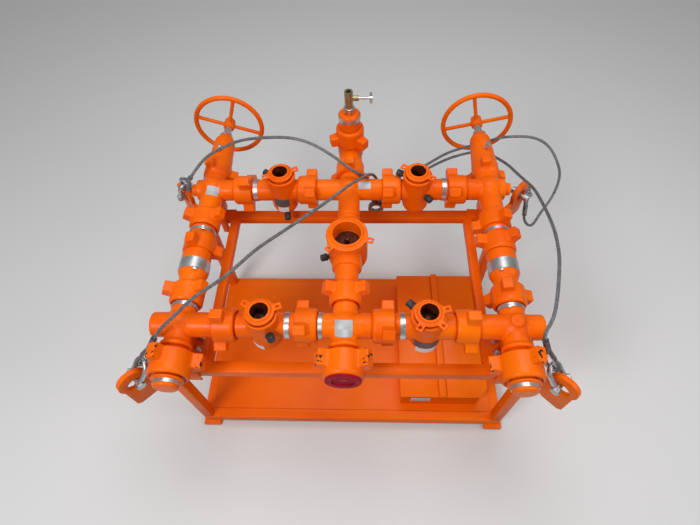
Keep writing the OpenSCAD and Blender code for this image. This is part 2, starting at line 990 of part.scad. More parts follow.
module link_end(u, g) {
  translate(link_at(u))
    along(u)
      rod_z(g, ferrule_len - 6, ferrule_r);
}

module sling_fittings() {
  color("dimgray")
    at_pipes() {
      leg_end(-1, 0, lean_fl, dir_fl, slack_fl);
      leg_end(1, 0, lean_fr, dir_fr, slack_fr);
      leg_end(-1, 1, lean_bl, dir_bl, slack_bl);
      leg_end(1, 1, lean_br, dir_br, slack_br);
      link_end(out_fl, 0);
      link_end(out_fr, 6.2);
      link_end(out_bl, 1.2);
      link_end(out_br, 8);
    }
}

module master_link() {
  color("dimgray")
    at_pipes()
      translate([link_x, link_y, link_z])
        rotate([90, 0, 0])
          difference() {
            cylinder(r = link_r, h = link_t, center = true, $fn = 48);
            cylinder(r = link_in, h = link_t + 2, center = true, $fn = 48);
          }
}

// Sling legs: a round section swept along the route points

function unit(v) = v / norm(v);
function mid(p, i, t) = let(a = p[max(i - 1, 0)], b = p[i], c = p[min(i + 1, len(p) - 1)],
  d = p[min(i + 2, len(p) - 1)])
  0.5 * (2 * b + (c - a) * t + (2 * a - 5 * b + 4 * c - d) * t * t
  + (3 * b - a - 3 * c + d) * t * t * t);
function route(p, k) = concat([for (i = [0:len(p) - 2], j = [0:k - 1]) mid(p, i, j / k)], [p[len(p) - 1]]);
function way(q, i) = unit(q[min(i + 1, len(q) - 1)] - q[max(i - 1, 0)]);
function ring(q, i, r, n) = let(t = way(q, i), u = unit(cross([0, 0, 1], t)), v = cross(t, u))
  [for (j = [0:n - 1]) q[i] + r * (cos(360 * j / n) * u + sin(360 * j / n) * v)];

function exit_at(sx, b, a, d, g) = crown(sx, b, a) + (seat(g) + eye_len + ferrule_len + clr) * d / norm(d);
function leg_points(sx, b, a, d, g, w, e) = concat(
  [for (k = [0, 10, 26]) exit_at(sx, b, a, d, g) + k * d / norm(d)], [for (p = w) at(p)],
  [for (k = [24, 8, clr]) link_at(e) + (ferrule_len - 6 + k) * e / norm(e)]);

module rope(p, k, n) {
  q = route(p, k);
  m = len(q);
  polyhedron(
    points = [for (i = [0:m - 1]) each ring(q, i, rope_r, n)],
    faces = concat(
      [[for (j = [0:n - 1]) j]],
      [for (i = [0:m - 2], j = [0:n - 1]) [i * n + j, (i + 1) * n + j, (i + 1) * n + (j + 1) % n,
        i * n + (j + 1) % n]],
      [[for (j = [n - 1:-1:0]) (m - 1) * n + j]]),
    convexity = 10);
}

module front_left_leg() {
  color("gray")
    at_pipes()
      rope(leg_points(-1, 0, lean_fl, dir_fl, slack_fl, way_fl, out_fl), 3, 10);
}

module front_right_leg() {
  color("gray")
    at_pipes()
      rope(leg_points(1, 0, lean_fr, dir_fr, slack_fr, way_fr, out_fr), 3, 10);
}

module back_left_leg() {
  color("gray")
    at_pipes()
      rope(leg_points(-1, 1, lean_bl, dir_bl, slack_bl, way_bl, out_bl), 3, 10);
}

module back_right_leg() {
  color("gray")
    at_pipes()
      rope(leg_points(1, 1, lean_br, dir_br, slack_br, way_br, out_br), 3, 10);
}

base_rails();
deck_plate();
corner_posts();
top_rails();
corner_brackets();
pipe_saddles();
saddle_bolts();
tool_box();
padeyes();
front_left_cross();
front_right_cross();
front_centre_cross();
back_centre_cross();
left_choke();
right_choke();
left_handwheel();
right_handwheel();
front_left_valve();
front_right_valve();
back_left_valve();
back_right_valve();
centre_valve();
front_left_operator();
front_right_operator();
back_left_operator();
back_right_operator();
centre_operator();
front_run_nuts();
back_run_nuts();
left_run_nuts();
right_run_nuts();
centre_line_nuts();
side_spools();
bull_plugs();
outlet_cap();
bleed_elbow();
needle_valve();
needle_handle();
id_bands();
grease_caps();
shackles();
sling_fittings();
master_link();
front_left_leg();
front_right_leg();
back_left_leg();
back_right_leg();
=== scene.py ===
"""Choke manifold on its skid: the finished look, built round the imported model."""
import json
import math

import bmesh
import bpy
from mathutils import Matrix, Vector

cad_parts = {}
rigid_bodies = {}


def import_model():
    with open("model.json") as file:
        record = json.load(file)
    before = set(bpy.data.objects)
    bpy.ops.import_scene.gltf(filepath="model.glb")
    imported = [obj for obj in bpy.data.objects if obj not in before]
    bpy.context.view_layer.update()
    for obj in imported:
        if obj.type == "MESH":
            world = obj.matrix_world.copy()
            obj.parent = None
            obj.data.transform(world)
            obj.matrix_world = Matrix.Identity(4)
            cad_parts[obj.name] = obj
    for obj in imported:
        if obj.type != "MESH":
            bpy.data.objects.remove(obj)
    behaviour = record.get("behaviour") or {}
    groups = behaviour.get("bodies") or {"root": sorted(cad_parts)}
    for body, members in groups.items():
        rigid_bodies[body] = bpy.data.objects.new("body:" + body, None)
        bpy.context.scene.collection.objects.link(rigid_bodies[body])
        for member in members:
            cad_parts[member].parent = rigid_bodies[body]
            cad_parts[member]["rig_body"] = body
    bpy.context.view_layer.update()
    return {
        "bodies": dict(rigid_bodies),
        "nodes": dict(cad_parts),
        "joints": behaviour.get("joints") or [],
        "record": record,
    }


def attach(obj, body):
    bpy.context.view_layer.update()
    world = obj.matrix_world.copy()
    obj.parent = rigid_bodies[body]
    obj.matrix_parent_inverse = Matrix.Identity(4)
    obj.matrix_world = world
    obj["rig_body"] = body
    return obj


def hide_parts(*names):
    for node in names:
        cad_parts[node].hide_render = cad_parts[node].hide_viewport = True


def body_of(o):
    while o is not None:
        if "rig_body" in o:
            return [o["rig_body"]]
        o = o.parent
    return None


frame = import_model()
NODES = frame["nodes"]
BODY = "manifold"

# The pipe frame of the part's source: origin on the front run, in millimetres
PIPE_Y = -435.0
PIPE_Z = 832.0
SIDE = 600.0
RUN = 654.0


def spot(x, y, z):
    """A point of the pipe frame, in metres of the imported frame."""
    return Vector((x / 1000, (y + PIPE_Y) / 1000, (z + PIPE_Z) / 1000))


# Camera

def aim_camera():
    yaw, pitch, roll = (math.radians(a) for a in (-4.12, 56.432, -3.273))
    level = math.cos(pitch)
    ahead = Vector((math.sin(yaw) * level, math.cos(yaw) * level, -math.sin(pitch)))
    right = Vector((math.cos(yaw), -math.sin(yaw), 0))
    up = right.cross(ahead)
    right, up = (
        math.cos(roll) * right + math.sin(roll) * up,
        -math.sin(roll) * right + math.cos(roll) * up,
    )
    data = bpy.data.cameras.new("view")
    data.sensor_fit = "HORIZONTAL"
    data.sensor_width = 36
    data.lens = 473.144 / 700 * 36
    data.clip_start = 0.05
    data.clip_end = 60
    camera = bpy.data.objects.new("view", data)
    bpy.context.scene.collection.objects.link(camera)
    turn = Matrix((right, up, -ahead)).transposed().to_4x4()
    camera.matrix_world = Matrix.Translation(spot(85.08, -747.97, 1543.95)) @ turn
    bpy.context.scene.camera = camera


aim_camera()


# Materials

class Finish:
    """A material with its nodes, built a step at a time."""

    def __init__(self, name, **shader):
        self.mat = bpy.data.materials.new(name)
        self.mat.use_nodes = True
        self.tree = self.mat.node_tree
        self.shader = self.tree.nodes["Principled BSDF"]
        for socket, value in shader.items():
            self.shader.inputs[socket.replace("_", " ")].default_value = value
        self.place = self.add("ShaderNodeTexCoord").outputs["Object"]

    def add(self, kind, **values):
        node = self.tree.nodes.new(kind)
        for key, value in values.items():
            setattr(node, key, value)
        return node

    def link(self, a, b):
        self.tree.links.new(a, b)

    def cloud(self, scale, detail=3.0, rough=0.55, at=None, stretch=None):
        source = at or self.place
        if stretch:
            mapping = self.add("ShaderNodeMapping")
            mapping.inputs["Scale"].default_value = stretch
            self.link(source, mapping.inputs["Vector"])
            source = mapping.outputs["Vector"]
        node = self.add("ShaderNodeTexNoise")
        node.inputs["Scale"].default_value = scale
        node.inputs["Detail"].default_value = detail
        node.inputs["Roughness"].default_value = rough
        self.link(source, node.inputs["Vector"])
        return node.outputs["Fac"]

    def ramp(self, value, *stops):
        node = self.add("ShaderNodeValToRGB")
        points = node.color_ramp.elements
        while len(points) < len(stops):
            points.new(0.5)
        for point, (where, colour) in zip(points, stops):
            point.position = where
            point.color = (*colour, 1) if len(colour) == 3 else colour
        self.link(value, node.inputs["Fac"])
        return node.outputs["Color"]

    def span(self, value, low, high, from_low=0.3, from_high=0.7):
        node = self.add("ShaderNodeMapRange")
        for key, number in zip(
            ("From Min", "From Max", "To Min", "To Max"), (from_low, from_high, low, high)
        ):
            node.inputs[key].default_value = number
        self.link(value, node.inputs["Value"])
        return node.outputs["Result"]

    def mix(self, share, a, b):
        node = self.add("ShaderNodeMix", data_type="RGBA")
        for source, socket in ((share, "Factor"), (a, "A"), (b, "B")):
            index = {"Factor": 0, "A": 6, "B": 7}[socket]
            if isinstance(source, tuple):
                node.inputs[index].default_value = (*source, 1)
            else:
                self.link(source, node.inputs[index])
        return node.outputs[2]

    def maths(self, kind, a, b=None):
        node = self.add("ShaderNodeMath", operation=kind)
        for index, source in enumerate((a, b)):
            if source is None:
                continue
            if isinstance(source, (int, float)):
                node.inputs[index].default_value = source
            else:
                self.link(source, node.inputs[index])
        return node.outputs[0]

    def far(self, a, b):
        """The length of a right-angled pair of offsets."""
        squares = (self.maths("MULTIPLY", a, a), self.maths("MULTIPLY", b, b))
        return self.maths("SQRT", self.maths("ADD", *squares))

    def colour(self, source):
        self.link(source, self.shader.inputs["Base Color"])

    def rough(self, source):
        self.link(source, self.shader.inputs["Roughness"])

    def bump(self, *layers):
        normal = None
        for height, distance in layers:
            node = self.add("ShaderNodeBump")
            node.inputs["Distance"].default_value = distance
            node.inputs["Strength"].default_value = 1.0
            self.link(height, node.inputs["Height"])
            if normal:
                self.link(normal, node.inputs["Normal"])
            normal = node.outputs["Normal"]
        self.link(normal, self.shader.inputs["Normal"])
        return self


CHIPS_END = -0.52
ORANGE = (0.92, 0.138, 0.0)
ORANGE_DEEP = (0.84, 0.105, 0.0)
ORANGE_PALE = (0.96, 0.18, 0.0)


def enamel(name, cast):
    """Gloss orange enamel; cast metal shows its skin through it."""
    f = Finish(name, Coat_Weight=0.04, Coat_Roughness=0.12, Specular_IOR_Level=0.14)
    patches = f.cloud(5.0 if cast else 2.2, 4)
    f.colour(f.ramp(patches, (0.3, ORANGE_DEEP), (0.52, ORANGE), (0.75, ORANGE_PALE)))
    f.rough(f.span(f.cloud(14, 3), 0.24 if cast else 0.3, 0.42 if cast else 0.44))
    peel = f.cloud(420, 2)
    skin = f.cloud(75 if cast else 28, 3)
    f.bump((peel, 0.00022), (skin, 0.0012 if cast else 0.0006))
    return f.mat


def chipped_enamel(name, beyond, spread):
    """The same enamel with small dark chips on the lugs of the front nuts."""
    f = Finish(name, Coat_Weight=0.04, Coat_Roughness=0.12, Specular_IOR_Level=0.14)
    patches = f.cloud(5.0, 4)
    base = f.ramp(patches, (0.3, ORANGE_DEEP), (0.52, ORANGE), (0.75, ORANGE_PALE))
    split = f.add("ShaderNodeSeparateXYZ")
    f.link(f.place, split.inputs[0])
    sideways = f.maths("ABSOLUTE", split.outputs["X"])
    from_side = f.maths("ABSOLUTE", f.maths("SUBTRACT", sideways, SIDE / 1000))
    across = f.maths("MINIMUM", sideways, from_side)
    height = f.maths("SUBTRACT", split.outputs["Z"], PIPE_Z / 1000)
    reach = f.far(across, height)
    outer = f.span(reach, 0, 1, beyond, beyond + spread)
    flakes = f.span(f.cloud(70, 2, 0.6), 0, 1, 0.585, 0.605)
    front = f.span(split.outputs["Y"], 1, 0, CHIPS_END, CHIPS_END + 0.01)
    chips = f.maths("MULTIPLY", f.maths("MULTIPLY", outer, flakes), front)
    f.colour(f.mix(chips, base, (0.018, 0.012, 0.012)))
    f.rough(f.span(f.cloud(14, 3), 0.24, 0.42))
    peel = f.cloud(420, 2)
    skin = f.cloud(75, 3)
    dent = f.maths("MULTIPLY", chips, -1)
    f.bump((peel, 0.00022), (skin, 0.0012), (dent, 0.0006))
    return f.mat


def bright_steel(name, low, high, rough, grain=(1, 1, 1), metal=1.0, scale=40, bumps=0.0005):
    f = Finish(name, Metallic=metal)
    wear = f.cloud(scale, 4, 0.6, stretch=grain)
    f.colour(f.ramp(wear, (0.3, low), (0.7, high)))
    f.rough(f.span(f.cloud(scale * 2, 3, stretch=grain), rough - 0.08, rough + 0.12))
    f.bump((wear, bumps), (f.cloud(scale * 9, 2, stretch=grain), bumps * 0.4))
    return f.mat


def wire(name):
    """Galvanised wire rope: strands are modelled, the single wires are bump along them."""
    f = Finish(name, Metallic=0.85)
    uv = f.add("ShaderNodeUVMap", uv_map="lay").outputs["UV"]
    wires = f.add("ShaderNodeTexWave", bands_direction="DIAGONAL")
    wires.inputs["Scale"].default_value = 6.0
    f.link(uv, wires.inputs["Vector"])
    dirt = f.cloud(60, 4, 0.6)
    tone = f.ramp(dirt, (0.3, (0.24, 0.25, 0.26)), (0.7, (0.46, 0.47, 0.49)))
    f.colour(f.mix(f.span(wires.outputs["Fac"], 0, 0.6, 0, 1), tone, (0.1, 0.1, 0.105)))
    f.rough(f.span(dirt, 0.34, 0.55))
    f.bump((wires.outputs["Fac"], 0.0004))
    return f.mat


def socket_enamel(name, centre, radius):
    """Enamel outside, and inside its radius the bare brown metal of the operating socket, painted
    very dark as the shade in its hollow.
    """
    f = Finish(name, Coat_Weight=0.04, Coat_Roughness=0.12, Specular_IOR_Level=0.14)
    base = f.ramp(f.cloud(5.0, 4), (0.3, ORANGE_DEEP), (0.52, ORANGE), (0.75, ORANGE_PALE))
    split = f.add("ShaderNodeSeparateXYZ")
    f.link(f.place, split.inputs[0])
    dx = f.maths("SUBTRACT", split.outputs["X"], centre.x)
    dy = f.maths("SUBTRACT", split.outputs["Y"], centre.y)
    reach = f.far(dx, dy)
    ragged = f.maths("ADD", reach, f.span(f.cloud(160, 3), -0.0012, 0.0012))
    bare = f.span(ragged, 1, 0, radius, radius + 0.0008)
    # Bare rusty metal in the socket, painted near black as the shade inside the hollow: partly
    # painted shade.
    rust_and_shade = f.ramp(f.cloud(70, 4), (0.3, (0.028, 0.008, 0.005)), (0.7, (0.13, 0.024, 0.006)))
    f.colour(f.mix(bare, base, rust_and_shade))
    f.rough(f.span(f.cloud(14, 3), 0.26, 0.44))
    f.bump((f.cloud(420, 2), 0.00022), (f.cloud(75, 3), 0.0012))
    return f.mat


def plastic(name, low, high, rough, coat=0.0):
    f = Finish(name, Coat_Weight=coat)
    f.colour(f.ramp(f.cloud(18, 3), (0.3, low), (0.7, high)))
    f.rough(f.span(f.cloud(30, 3), rough - 0.06, rough + 0.1))
    f.bump((f.cloud(260, 2), 0.0002))
    return f.mat


def cap_face():
    """Crimson cap: its pressed rings are modelled, its face has a soft mottled sheen."""
    f = Finish("cap_crimson", Coat_Weight=0.0, Specular_IOR_Level=0.04)
    f.colour(f.ramp(f.cloud(22, 4), (0.3, (0.27, 0.004, 0.014)), (0.7, (0.46, 0.008, 0.034))))
    f.rough(f.span(f.cloud(40, 3), 0.3, 0.5))
    f.bump((f.cloud(160, 3), 0.0005))
    return f.mat


MATS = {
    "cast": enamel("enamel_on_castings", True),
    "plate": enamel("enamel_on_plate", False),
    "chipped": chipped_enamel("enamel_with_chips", 0.088, 0.006),
    "cap": cap_face(),
    "zinc": bright_steel("galvanised_steel", (0.36, 0.38, 0.4), (0.66, 0.68, 0.7), 0.36),
    "band": bright_steel(
        "band_steel", (0.5, 0.51, 0.52), (0.66, 0.67, 0.68), 0.34, scale=16, bumps=0.0001
    ),
    "dark": bright_steel("sling_steel", (0.11, 0.11, 0.12), (0.34, 0.34, 0.35), 0.4),
    "thimble": bright_steel("thimble_steel", (0.3, 0.31, 0.33), (0.62, 0.64, 0.66), 0.33),
    "bronze": bright_steel("needle_bronze", (0.3, 0.25, 0.12), (0.52, 0.46, 0.28), 0.32),
    "plated": bright_steel("plated_steel", (0.6, 0.6, 0.6), (0.82, 0.82, 0.82), 0.22),
    "rubber": plastic("black_rubber", (0.012, 0.012, 0.013), (0.03, 0.03, 0.032), 0.5),
    "label": bright_steel(
        "label_plate", (0.42, 0.44, 0.45), (0.56, 0.58, 0.59), 0.5,
        metal=0.25, scale=12, bumps=0.0001,
    ),
    "white": plastic("label_white", (0.72, 0.73, 0.74), (0.84, 0.85, 0.86), 0.42),
    "grey": plastic("nameplate_grey", (0.05, 0.055, 0.06), (0.09, 0.095, 0.1), 0.4),
    "rope": wire("rope_strand"),
}


def dress(ob, key):
    ob.data.materials.clear()
    ob.data.materials.append(MATS[key])


# Modelling helpers

def alone(ob):
    """Selects one object only, and makes it the active one."""
    bpy.ops.object.select_all(action="DESELECT")
    ob.select_set(True)
    bpy.context.view_layer.objects.active = ob


def press(ob):
    """Applies every modifier and puts the object's place into its mesh."""
    alone(ob)
    for mod in list(ob.modifiers):
        bpy.ops.object.modifier_apply(modifier=mod.name)
    bpy.ops.object.transform_apply(location=True, rotation=True, scale=True)


def settle(ob, name, key, body=BODY):
    """Names a finished piece, gives it its material and lets it ride."""
    ob.name = name
    ob.data.name = name
    if key:
        dress(ob, key)
    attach(ob, body)
    return ob


def smooth(ob, angle=35):
    alone(ob)
    bpy.ops.object.shade_smooth_by_angle(angle=math.radians(angle))


def copy_of(node):
    """A merged copy of a CAD node's mesh, at the same place."""
    ob = NODES[node].copy()
    ob.data = NODES[node].data.copy()
    for key in list(ob.keys()):
        if key.startswith("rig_"):
            del ob[key]
    bpy.context.scene.collection.objects.link(ob)
    ob.parent = None
    ob.matrix_world = Matrix.Identity(4)
    alone(ob)
    bpy.ops.object.mode_set(mode="EDIT")
    bpy.ops.mesh.select_all(action="SELECT")
    bpy.ops.mesh.remove_doubles(threshold=0.00001)
    bpy.ops.object.mode_set(mode="OBJECT")
    return ob


# The share of a casting's faces that stays, to keep the whole model under a million triangles
KEEP_FACES = 0.58


def recast(node, name, key, voxel, passes, shape=None):
    """A casting: the node's form with its edges and inner corners blended as in a mould."""
    body = body_of(NODES[node])[0]
    ob = copy_of(node)
    if shape:
        shape(ob, node)
    mod = ob.modifiers.new("blend", "REMESH")
    mod.mode = "VOXEL"
    mod.voxel_size = voxel
    mod = ob.modifiers.new("soften", "SMOOTH")
    mod.factor = 0.5
    mod.iterations = passes
    mod = ob.modifiers.new("thin", "DECIMATE")
    mod.ratio = KEEP_FACES
    press(ob)
    alone(ob)
    bpy.ops.object.shade_smooth()
    settle(ob, name, key, body)
    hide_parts(node)
    return ob


def folded(node, name, key, width):
    """Rolled or folded steel: the node's form with small rounded edges."""
    body = body_of(NODES[node])[0]
    ob = copy_of(node)
    alone(ob)
    bpy.ops.object.mode_set(mode="EDIT")
    bpy.ops.mesh.select_all(action="SELECT")
    bpy.ops.mesh.dissolve_limited(angle_limit=math.radians(1.5))
    bpy.ops.object.mode_set(mode="OBJECT")
    mod = ob.modifiers.new("edge", "BEVEL")
    mod.width = width
    mod.segments = 2
    mod.limit_method = "ANGLE"
    mod.angle_limit = math.radians(40)
    mod.use_clamp_overlap = True
    press(ob)
    smooth(ob, 40)
    settle(ob, name, key, body)
    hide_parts(node)
    return ob


# Sling legs: the routes of the part's source, in its millimetres

SKID_W, SKID_D, SKID_FRONT = 1422.0, 787.0, 123.0
PAD_S, PAD_Z, PIN_MOVE = 80.0, -110.0, 18.6
BOW_LEN, BOW_HALF, BOW_ROD = 62.0, 28.0, 9.5
EYE_R, EYE_IN, EYE_LEN = 26.0, 20.0, 62.0
FERRULE_LEN, CLEAR = 46.0, 0.4
ROPE_R = 6.5
LINK = Vector((118, RUN + 58, -186))
LINK_R = 36.0

LEGS = {
    "front_left": dict(
        side=-1, back=0, lean=42, out=(0.52, 0.41, 0.75), slack=2.3, link=(0.12, 0.06, 1),
        way=[[-610, -62, 112], [-570, -20, 124], [-524, 34, 134], [-448, 92, 144], [-398, 138, 150],
             [-324, 226, 154], [-246, 298, 154], [-136, 406, 146], [-62, 488, 134], [2, 570, 118],
             [38, 612, 104], [66, 650, 88], [96, 690, 60], [116, 714, 10], [126, 722, -50]]),
    "back_left": dict(
        side=-1, back=1, lean=20, out=(0.55, -0.35, 0.76), slack=3, link=(-0.24, 0.06, 1),
        way=[[-660, 664, 100], [-613, 719, 130], [-558, 742, 152], [-486, 770, 170],
             [-424, 784, 176], [-338, 790, 178], [-258, 788, 178], [-172, 766, 172],
             [-76, 716, 150],
             [0, 674, 112], [46, 676, 70], [74, 706, 26], [86, 718, -40]]),
    "front_right": dict(
        side=1, back=0, lean=42, out=(-0.36, 0.44, 0.82), slack=2, link=(0.42, 0.72, 0.55),
        way=[[696, -26, 110], [722, 58, 132], [754, 184, 136], [764, 242, 134], [774, 326, 122],
             [778, 404, 104], [780, 500, 76], [776, 626, 36], [750, 726, 0], [718, 838, -36],
             [674, 918, -62], [634, 964, -78], [566, 972, -90], [456, 938, -100], [328, 862, -110],
             [250, 816, -116], [196, 766, -130]]),
    "back_right": dict(
        side=1, back=1, lean=-120, out=(-0.02, -0.61, -0.79), slack=4.5, link=(0.46, 0.88, 0.12),
        way=[[862, 668, -284], [914, 740, -272], [960, 790, -236], [986, 830, -184],
             [990, 860, -128], [972, 876, -84], [950, 912, -50], [922, 970, -36], [876, 1008, -32],
             [816, 1024, -36], [728, 1033, -48], [660, 1025, -66], [567, 1013, -88],
             [470, 988, -104],
             [372, 932, -122], [300, 888, -138], [240, 838, -158], [200, 790, -178]]),
}


def outward(leg):
    k = math.sqrt(0.5)
    return Vector((leg["side"] * k, (1 if leg["back"] else -1) * k, 0))


def pin_of(leg):
    """Where the shackle's pin is: along the padeye, and above the pipe line."""
    lean = math.radians(leg["lean"])
    return PAD_S - PIN_MOVE * math.sin(lean), PAD_Z + PIN_MOVE * math.cos(lean)


def on_pad(leg, s, z):
    corner = Vector((leg["side"] * SKID_W / 2, (SKID_D if leg["back"] else 0) - SKID_FRONT, 0))
    return corner + s * outward(leg) + Vector((0, 0, z))


def eye_centre(leg):
    lean = math.radians(leg["lean"])
    s, z = pin_of(leg)
    reach = BOW_LEN + BOW_HALF
    crown = on_pad(leg, s - reach * math.sin(lean), z + reach * math.cos(lean))
    return crown + (EYE_IN - BOW_ROD - leg["slack"]) * Vector(leg["out"]).normalized()


def link_seat(leg):
    u = Vector(leg["link"])
    return LINK + (LINK_R + 1) * Vector((u.x, 0, u.z)).normalized()


def leg_points(leg):
    u, e = Vector(leg["out"]).normalized(), Vector(leg["link"]).normalized()
    start = eye_centre(leg) + (EYE_LEN + FERRULE_LEN + CLEAR) * u
    return (
        [start + k * u for k in (0, 10, 26)]
        + [Vector(p) for p in leg["way"]]
        + [link_seat(leg) + (FERRULE_LEN - 6 + k) * e for k in (24, 8, CLEAR)]
    )


def curve_through(p, steps):
    """A smooth line through the points, the same one that the part's source sweeps."""
    line = []
    for i in range(len(p) - 1):
        a, b = p[max(i - 1, 0)], p[i]
        c, d = p[i + 1], p[min(i + 2, len(p) - 1)]
        for j in range(steps):
            t = j / steps
            line.append(0.5 * (2 * b + (c - a) * t + (2 * a - 5 * b + 4 * c - d) * t * t
                               + (3 * b - a - 3 * c + d) * t ** 3))
    return line + [p[-1]]


def even_line(line, step):
    """The same line with its points a step apart, and how far along each one is."""
    run = [0.0]
    for a, b in zip(line, line[1:]):
        run.append(run[-1] + (b - a).length)
    count = max(4, round(run[-1] / step))
    out, i = [], 0
    for k in range(count + 1):
        want = run[-1] * k / count
        while i < len(run) - 2 and run[i + 1] < want:
            i += 1
        share = (want - run[i]) / max(run[i + 1] - run[i], 1e-9)
        out.append(line[i].lerp(line[i + 1], min(max(share, 0), 1)))
    return out, [run[-1] * k / count for k in range(count + 1)]


def relaxed(line, passes=60, step=4.0):
    """The line a stiff rope takes through its points: corners eased, both ends held straight."""
    line, _ = even_line(line, step)
    for _ in range(passes):
        eased = [b.lerp((a + c) / 2, 0.5) for a, b, c in zip(line, line[1:], line[2:])]
        line = line[:3] + eased[2:-2] + line[-3:]
    return line


def strand_profile(radius):
    """Six round strands seen end on, four points to a strand."""
    small, middle = radius / 3 * 1.04, radius * 2 / 3
    out = []
    for k in range(24):
        turn = (k % 4 - 2) * math.pi / 12
        sink = math.sqrt(max(small * small - (middle * math.sin(turn)) ** 2, 0))
        out.append((k * math.pi / 12, middle * math.cos(turn) + sink))
    return out


def lay_rope(name, line, radius, lay):
    """A stranded rope along a line of metre points: strands twisted once in each lay."""
    line, along = even_line(line, lay / 30)
    profile = strand_profile(radius)
    n = len(profile)
    verts, faces, spots = [], [], []
    side = None
    for i, p in enumerate(line):
        ahead = (line[min(i + 1, len(line) - 1)] - line[max(i - 1, 0)]).normalized()
        if side is None:
            side = ahead.orthogonal().normalized()
        side = (side - side.dot(ahead) * ahead).normalized()
        other = ahead.cross(side)
        twist = 2 * math.pi * along[i] / lay
        for angle, r in profile:
            verts.append(p + r * (math.cos(angle + twist) * side + math.sin(angle + twist) * other))
            spots.append((angle / (2 * math.pi) * 6, along[i] / lay))
    for i in range(len(line) - 1):
        for j in range(n):
            k = (j + 1) % n
            faces.append((i * n + j, i * n + k, (i + 1) * n + k, (i + 1) * n + j))
    faces.append(tuple(range(n - 1, -1, -1)))
    faces.append(tuple((len(line) - 1) * n + j for j in range(n)))
    mesh = bpy.data.meshes.new(name)
    mesh.from_pydata(verts, [], faces)
    layer = mesh.uv_layers.new(name="lay")
    for loop in mesh.loops:
        layer.data[loop.index].uv = spots[loop.vertex_index]
    ob = bpy.data.objects.new(name, mesh)
    bpy.context.scene.collection.objects.link(ob)
    alone(ob)
    bpy.ops.object.shade_smooth()
    return ob, line, along[-1]


def make_leg(key):
    leg = LEGS[key]
    points = relaxed(curve_through(leg_points(leg), 10))
    line = [spot(*p) for p in points]
    ob, path, length = lay_rope(key + "_rope", line, ROPE_R / 1000, 0.085)
    settle(ob, key + "_rope", "rope", BODY)
    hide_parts(key + "_leg")


for key in LEGS:
    make_leg(key)


# Plug valves: axis on the pipe frame, top of the barrel, socket radius and floor, in millimetres

VALVES = {
    "front_left": (-291.0, 0.0, 92.0, 31.0, 48.0),
    "front_right": (291.0, 0.0, 92.0, 31.0, 48.0),
    "back_left": (-289.0, RUN, 92.0, 31.0, 48.0),
    "back_right": (289.0, RUN, 92.0, 31.0, 48.0),
    "centre": (0.0, 350.0, 70.0, 50.0, 32.0),
}
BIG_SOCKET = 40.0

# Each operator's socket material paints its inside dark: bare rusty metal with painted shade.
for key, (x, y, top, socket, floor) in VALVES.items():
    bare = socket + (3.0 if socket > BIG_SOCKET else 0.8)
    MATS[key + "_socket"] = socket_enamel(key + "_socket_enamel", spot(x, y, 0), bare / 1000)


# CAD nodes that stay as they are get their finish

PLAIN = {
    "deck_plate": "plate",
    "id_bands": "band",
    "saddle_bolts": "zinc",
    "shackles": "zinc",
    "sling_fittings": "dark",
    "master_link": "dark",
    "needle_valve": "bronze",
    "needle_handle": "plated",
}
for node, key in PLAIN.items():
    dress(NODES[node], key)

def joined(parts):
    bpy.ops.object.select_all(action="DESELECT")
    for ob in parts:
        ob.select_set(True)
    bpy.context.view_layer.objects.active = parts[0]
    if len(parts) > 1:
        bpy.ops.object.join()
    return bpy.context.view_layer.objects.active


# Forms that the solids lack: the union nuts' turn and mouths, the operators' lips

def rod(frame, radius, low, high, sides=64, far=None):
    """A rod or cone on the Z axis of a frame that is given in pipe millimetres."""
    bpy.ops.object.select_all(action="DESELECT")
    bpy.ops.mesh.primitive_cone_add(
        vertices=sides, radius1=radius, radius2=far or radius, depth=high - low
    )
    ob = bpy.context.object
    ob.matrix_world = TO_PACK @ frame @ Matrix.Translation((0, 0, (low + high) / 2))
    alone(ob)
    bpy.ops.object.transform_apply(location=True, rotation=True, scale=True)
    return ob


def cut(ob, cutters):
    """Takes the cutters out of a piece, and deletes them."""
    for cutter in cutters:
        mod = ob.modifiers.new("cut", "BOOLEAN")
        mod.operation = "DIFFERENCE"
        mod.solver = "EXACT"
        mod.object = cutter
        alone(ob)
        bpy.ops.object.modifier_apply(modifier=mod.name)
        bpy.data.objects.remove(cutter)
    return ob


TO_PACK = Matrix.Translation(spot(0, 0, 0)) @ Matrix.Scale(0.001, 4)


def nut_frame(axis, at, centre, width, way, turn):
    """A nut's own frame: its lugs at zero, its mouth a width further along its way."""
    start = centre - way * width / 2
    if axis == "X":
        return (Matrix.Translation((start, at, 0)) @ Matrix.Rotation(math.radians(90 * way), 4, "Y")
                @ Matrix.Rotation(math.radians(turn), 4, "Z"))
    return (Matrix.Translation((at, start, 0)) @ Matrix.Rotation(math.radians(-90 * way), 4, "X")
            @ Matrix.Rotation(math.radians(turn), 4, "Z"))


